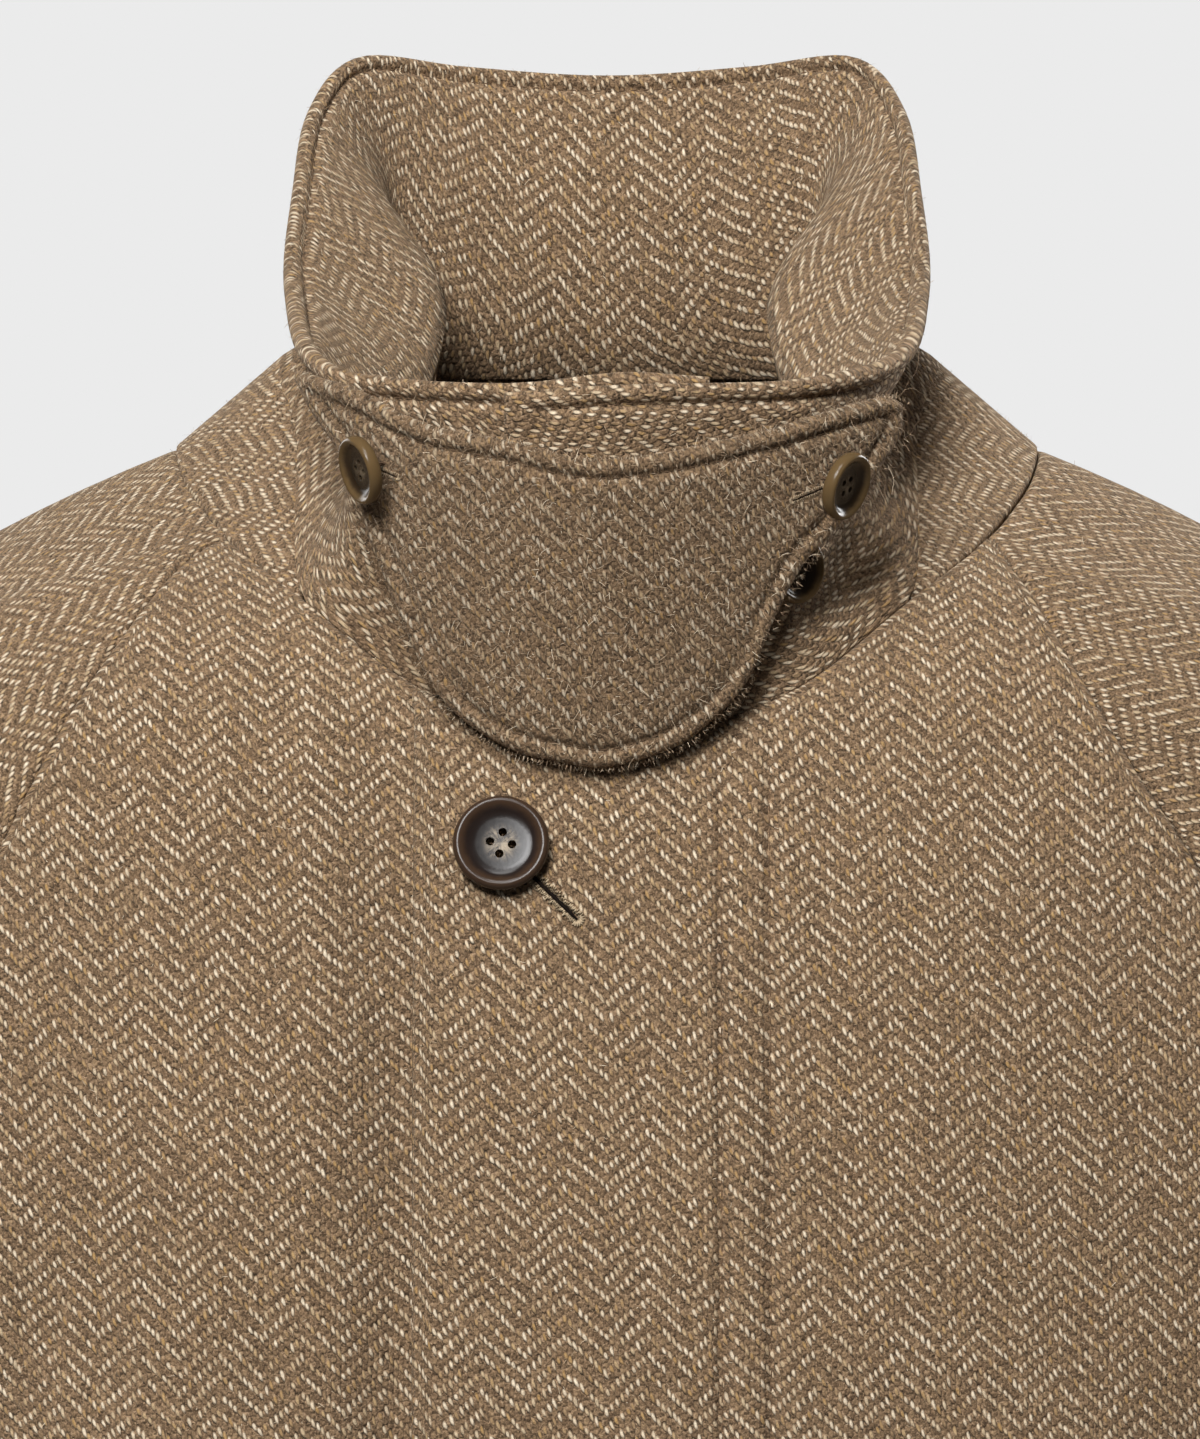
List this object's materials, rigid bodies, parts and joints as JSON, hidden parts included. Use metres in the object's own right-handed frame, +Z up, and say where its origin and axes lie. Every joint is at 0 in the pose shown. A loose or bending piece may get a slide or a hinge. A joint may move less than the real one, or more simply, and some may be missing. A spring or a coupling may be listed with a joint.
{
  "type": "raglan coat",
  "caption": "Knee-length tweed raglan coat, filled out and closed, with its collar turned up and a pointed throat tab buttoned across the front of the neck.",
  "frame": {"origin": "midway between the two neck points of the shoulders, where the coat hangs on its wearer", "axes": "+X to the wearer's left, +Y to the wearer's back, +Z up; the fronts face -Y"},
  "size_m": [0.704, 0.3704, 1.134],
  "materials": {
    "tweed": "matte herringbone weave with a light nap",
    "horn": "polished horn"
  },
  "bodies": {
    "root": {"front_left": "tweed", "front_right": "tweed", "back": "tweed", "sleeve_left_front": "tweed", "sleeve_left_back": "tweed", "sleeve_right_front": "tweed", "sleeve_right_back": "tweed", "collar_stand": "tweed", "collar_fall": "tweed", "throat_tab": "tweed", "front_button": "horn", "tab_button_right": "horn", "tab_button_left": "horn", "collar_button": "horn"}
  },
  "joints": []
}
